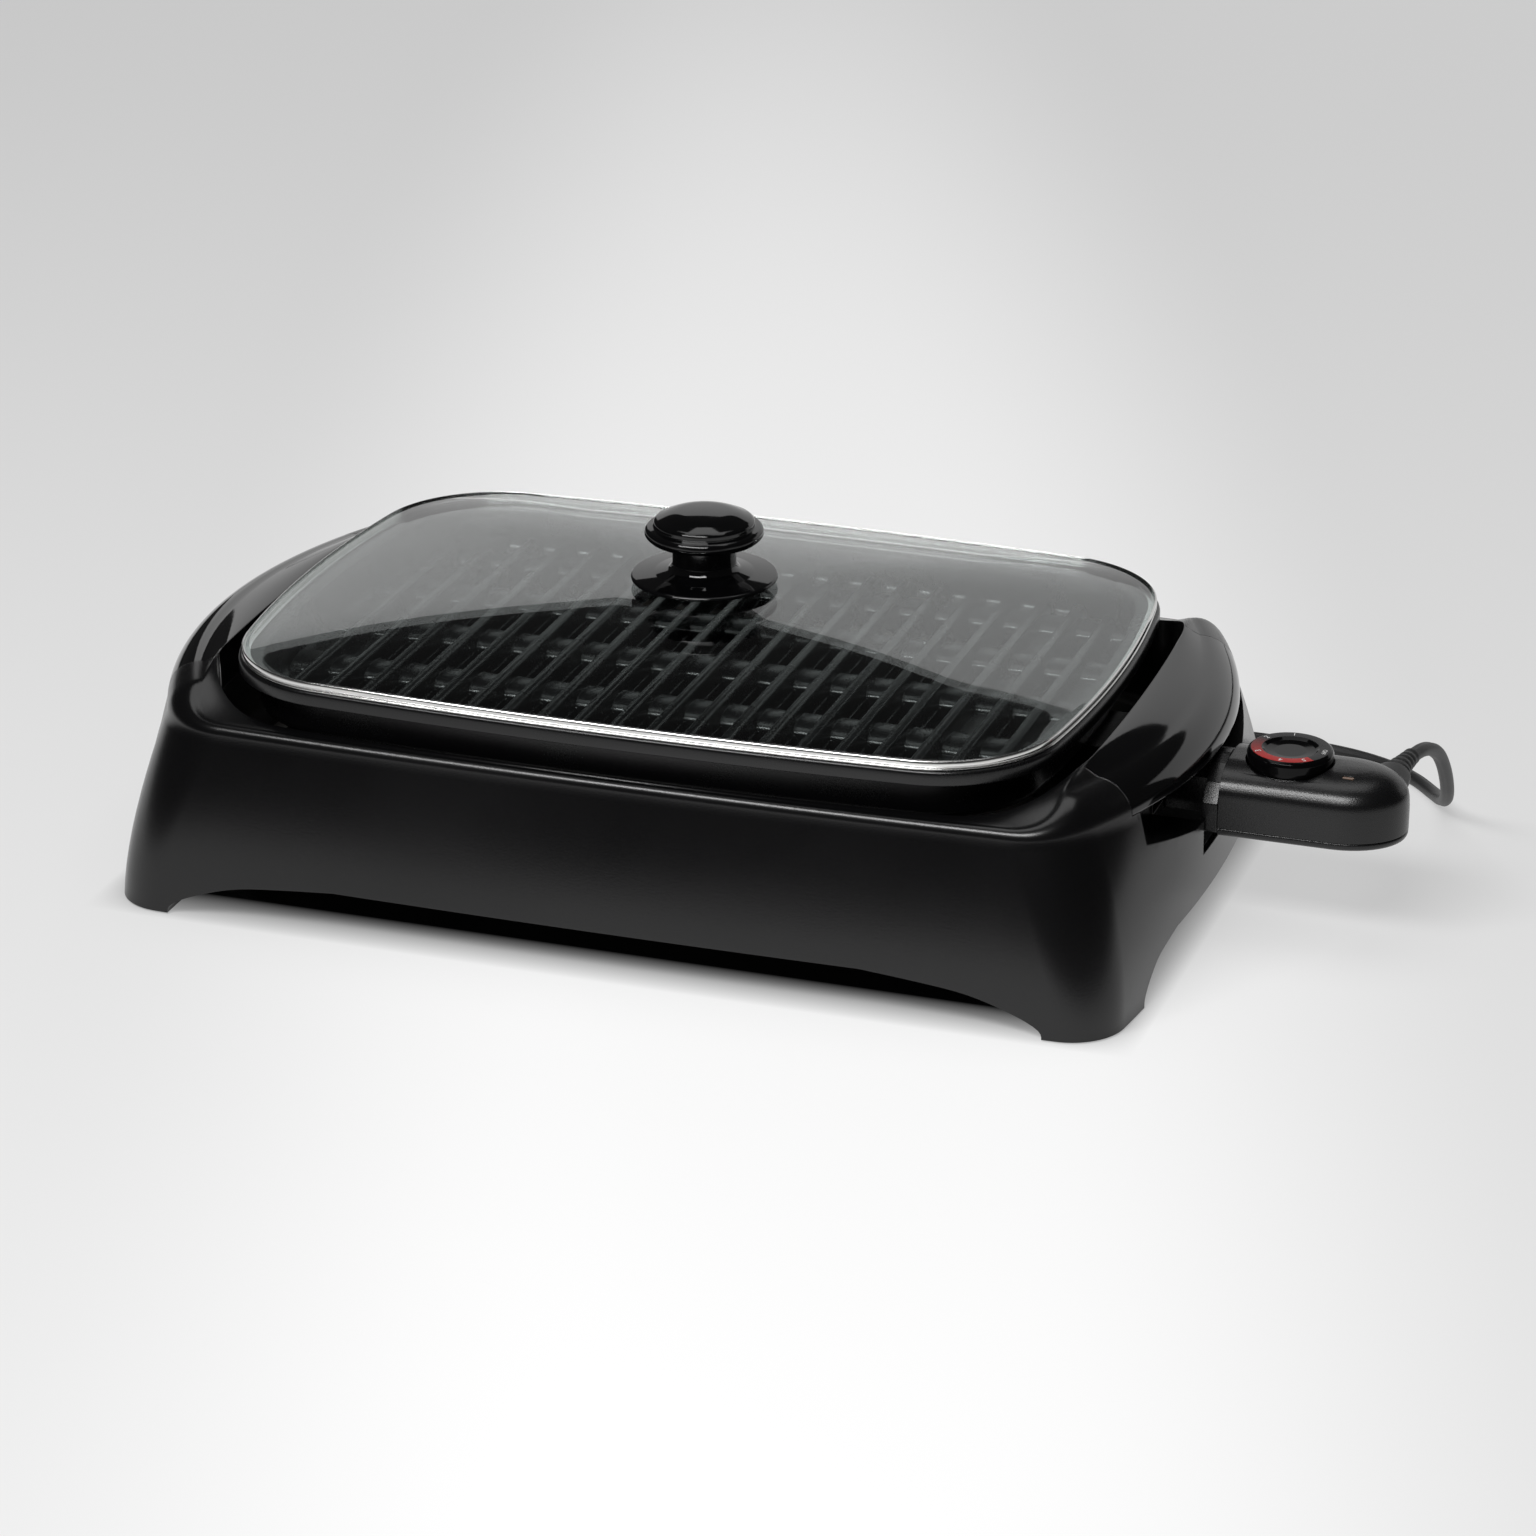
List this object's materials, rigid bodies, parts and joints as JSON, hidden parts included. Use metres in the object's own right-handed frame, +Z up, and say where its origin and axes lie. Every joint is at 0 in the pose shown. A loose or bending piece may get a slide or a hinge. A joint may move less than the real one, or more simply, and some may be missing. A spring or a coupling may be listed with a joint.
{
  "type": "electric griddle",
  "caption": "Electric tabletop griddle with a ribbed cast plate, domed glass lid, two end handles and a plug-in temperature control on a cord.",
  "frame": {"origin": "on the table under the middle of the box of the griddle with its plugged-in control, cord left out; the griddle's own middle is at x = -0.0465", "axes": "+Z up, +X along the length towards the temperature control, -Y the front"},
  "size_m": [0.63, 0.4749, 0.1832],
  "materials": {
    "base_plastic": "fine moulded texture, matte black",
    "handle_gloss": "polished black",
    "fastener_steel": "zinc plated",
    "foot_rubber": "matte",
    "tray_metal": "satin black coating on pressed steel",
    "nonstick_cast": "satin black nonstick coating on cast aluminium",
    "element_sheath": "oxidised steel sheath",
    "pin_metal": "nickel plated",
    "guard_metal": "bright sheet steel",
    "lid_glass": "clear tempered glass",
    "rim_steel": "polished stainless band",
    "knob_gloss": "polished black phenolic",
    "washer_silicone": "silicone",
    "probe_plastic": "fine moulded texture, matte black",
    "contact_brass": "bright",
    "insulator": "steatite, unglazed",
    "switch_body": "moulded phenolic",
    "lens_amber": "translucent amber",
    "lamp_glass": "clear bulb",
    "dial_gloss": "polished black with a printed red band and figures",
    "cord_jacket": "matte black heater cord"
  },
  "bodies": {
    "base": {"base_shell": "base_plastic", "left_handle": "handle_gloss", "right_handle": "handle_gloss", "handle_screw_left_front": "fastener_steel", "handle_screw_left_back": "fastener_steel", "handle_screw_right_front": "fastener_steel", "handle_screw_right_back": "fastener_steel", "guard_screw_front": "fastener_steel", "guard_screw_back": "fastener_steel", "foot_left_front": "foot_rubber", "foot_left_back": "foot_rubber", "foot_right_front": "foot_rubber", "foot_right_back": "foot_rubber", "drip_tray": "tray_metal", "grill_plate": "nonstick_cast", "heating_element": "element_sheath", "terminal_pin_front": "pin_metal", "terminal_pin_back": "pin_metal", "terminal_guard": "guard_metal"},
    "lid": {"lid_glass": "lid_glass", "lid_rim": "rim_steel", "knob_base": "knob_gloss", "knob_cap": "knob_gloss", "knob_washer": "washer_silicone", "screw_washer": "fastener_steel", "knob_screw": "fastener_steel"},
    "probe": {"probe_upper_shell": "probe_plastic", "probe_lower_shell": "probe_plastic", "probe_collar": "probe_plastic", "sensor_rod": "pin_metal", "contact_sleeve_front": "contact_brass", "contact_sleeve_back": "contact_brass", "contact_block": "insulator", "thermostat_switch": "switch_body", "indicator_lens": "lens_amber", "indicator_lamp": "lamp_glass", "probe_screw_front": "fastener_steel", "probe_screw_back": "fastener_steel", "strain_relief": "probe_plastic", "cord_lead": "cord_jacket", "cord_coil": "cord_jacket", "cord_tail": "cord_jacket", "cord_tie": "cord_jacket", "plug_body": "cord_jacket", "plug_blade_front": "contact_brass", "plug_blade_back": "contact_brass"},
    "dial": {"dial": "dial_gloss", "dial_shaft": "pin_metal"}
  },
  "joints": [
    {"name": "lid_lift", "type": "slide", "parent": "base", "child": "lid", "axis": [0, 0, 1], "range_m": [0, 0.15]},
    {"name": "probe_pull", "type": "slide", "parent": "base", "child": "probe", "axis": [1, 0, 0], "range_m": [0, 0.09]},
    {"name": "dial_turn", "type": "hinge", "parent": "probe", "child": "dial", "pos_m": [0.2555, 0, 0.09], "axis": [0, 0, 1], "range_deg": [-300, 0]}
  ]
}
